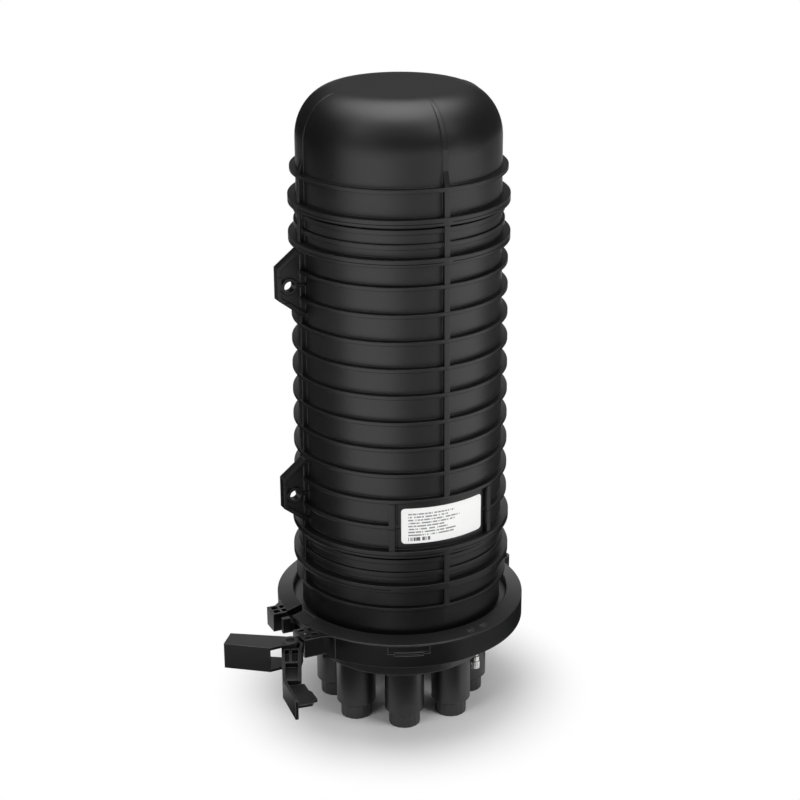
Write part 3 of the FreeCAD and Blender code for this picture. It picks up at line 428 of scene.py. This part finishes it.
# Screens that stand: first and last azimuth, distance, foot, top, tone.
STANDING_SCREENS = {
    "left wing": (-165.0, -60.0, 0.60, 0.38, 1.1, 0.02),
    "right wing": (70.0, 165.0, 0.60, 0.40, 1.1, 0.06),
    "back wing": (150.0, 210.0, 0.62, 0.62, 1.2, 0.09),
    "back card": (152.0, 208.0, 0.62, 0.16, 0.46, 1.0),
    "front wing": (-20.0, 60.0, 1.10, 0.47, 1.0, DARK),
    "left card": (-135.0, -40.0, 1.35, 1.15, 2.35, 1.0),
    "right card": (40.0, 135.0, 1.35, 1.15, 2.35, 1.0),
    "room screen": (0.0, 360.0, 6.0, 0.5, 14.0, ROOM_LIGHT),
}


def show(thing):
    bpy.context.scene.collection.objects.link(thing)
    return thing


def toward(azimuth, distance, height):
    a = math.radians(azimuth)
    return (distance * math.sin(a), -distance * math.cos(a), height)


def soft_box(name, place, aim, width, power, in_gloss):
    data = bpy.data.lights.new(name, "AREA")
    data.shape = "SQUARE"
    data.size = width
    data.energy = power
    lamp = show(bpy.data.objects.new(name, data))
    lamp.location = place
    lamp.rotation_euler = (Vector(aim) - Vector(place)).to_track_quat("-Z", "Y").to_euler()
    lamp.visible_glossy = in_gloss


def stage_sheet(name, points, faces, material):
    mesh = bpy.data.meshes.new(name)
    mesh.from_pydata(points, [], faces)
    mesh.materials.append(material)
    sheet = show(bpy.data.objects.new(name, mesh))
    return sheet


def sweep(first, last):
    """Azimuths from first to last, counted from the view."""
    gaps = int((last - first) / SWEEP_STEP)
    return [VIEW + first + (last - first) * i / gaps for i in range(gaps + 1)]


def screen(name, inner, outer, tone):
    """A glowing screen between two rows of points, seen only in reflections, where it paints a reflection.
    """
    count = len(inner)
    faces = [(i, i + 1, count + i + 1, count + i) for i in range(count - 1)]
    f = Finish(name)
    glow = f.close(f.node("ShaderNodeEmission", None, {"Color": (tone, tone, tone, 1)}))
    sheet = stage_sheet(name, inner + outer, faces, glow)
    sheet.visible_camera = False
    sheet.visible_diffuse = False
    sheet.visible_shadow = False
    sheet.visible_transmission = False


# Floor

FLOOR_HALF = 9.0
FLOOR_GAP = 0.0002
FLOOR_TONE = 0.88
# Distances from the axis at which the lit floor starts to turn to plain white and is all white.
SHADOW_KEPT = 0.09
SHADOW_GONE = 0.17


def lay_floor():
    """A floor that keeps the shadow round the ports and is plain white further out."""
    f = Finish("studio floor")
    x, y = f.split(f.node("ShaderNodeNewGeometry", out="Position"))[:2]
    far = (x * x + y * y).math("SQRT").ease(SHADOW_KEPT, SHADOW_GONE)
    lit = f.node("ShaderNodeBsdfDiffuse", None, {"Color": (FLOOR_TONE, FLOOR_TONE, FLOOR_TONE, 1)})
    white = f.node("ShaderNodeEmission", None, {"Color": WHITE})
    surface = f.close(f.node("ShaderNodeMixShader", None, [far * f.sees_white(), lit, white]))
    half = FLOOR_HALF
    corners = [(-half, -half, 0), (half, -half, 0), (half, half, 0), (-half, half, 0)]
    stage_sheet("floor", corners, [(0, 1, 2, 3)], surface).location.z = -FLOOR_GAP


def set_world():
    """White where it is seen, and a dim even light on the part."""
    f = Finish("studio", "worlds")
    room = f.node("ShaderNodeBackground", None, {"Color": WHITE, "Strength": ROOM_LIGHT})
    white = f.node("ShaderNodeBackground", None, {"Color": WHITE, "Strength": 1.0})
    both = f.node("ShaderNodeMixShader", None, [f.sees_white(), room, white])
    bpy.context.scene.world = f.close(both, "ShaderNodeOutputWorld")


# Camera

LENS_MM = 83.9
SENSOR_MM = 36.0
CAMERA_DISTANCE = 1.45
CAMERA_HEIGHT = 0.8388
LOOKS_DOWN = 21.33
ROLL = -0.29


def set_camera():
    data = bpy.data.cameras.new("camera")
    data.lens = LENS_MM
    data.sensor_width = SENSOR_MM
    data.clip_start = 0.05
    data.clip_end = 40.0
    camera = show(bpy.data.objects.new("camera", data))
    pitch = math.radians(LOOKS_DOWN)
    turn = math.radians(VIEW)
    roll = math.radians(ROLL)
    ahead = Vector((-math.sin(turn) * math.cos(pitch), math.cos(turn) * math.cos(pitch), -math.sin(pitch)))
    side = Vector((math.cos(turn), math.sin(turn), 0.0))
    up = side.cross(ahead)
    right = side * math.cos(roll) + up * math.sin(roll)
    top = up * math.cos(roll) - side * math.sin(roll)
    turned = Matrix((right, top, -ahead)).transposed().to_4x4()
    place = Vector(toward(VIEW, CAMERA_DISTANCE, CAMERA_HEIGHT))
    camera.matrix_world = Matrix.Translation(place) @ turned
    bpy.context.scene.camera = camera


for name, (azimuth, distance, height, aim, width, power, in_gloss) in LAMPS.items():
    soft_box(name, toward(azimuth, distance, height), aim, width, power, in_gloss)
for name, (first, last, near, far, tone) in FLOOR_SCREENS.items():
    turns = sweep(first, last)
    screen(name, [toward(turn, near, SCREEN_LEVEL) for turn in turns],
           [toward(turn, far, SCREEN_LEVEL) for turn in turns], tone)
for name, (first, last, distance, foot, top, tone) in STANDING_SCREENS.items():
    turns = sweep(first, last)
    screen(name, [toward(turn, distance, foot) for turn in turns],
           [toward(turn, distance, top) for turn in turns], tone)
set_world()
lay_floor()
set_camera()
bpy.context.scene.view_settings.view_transform = "Standard"
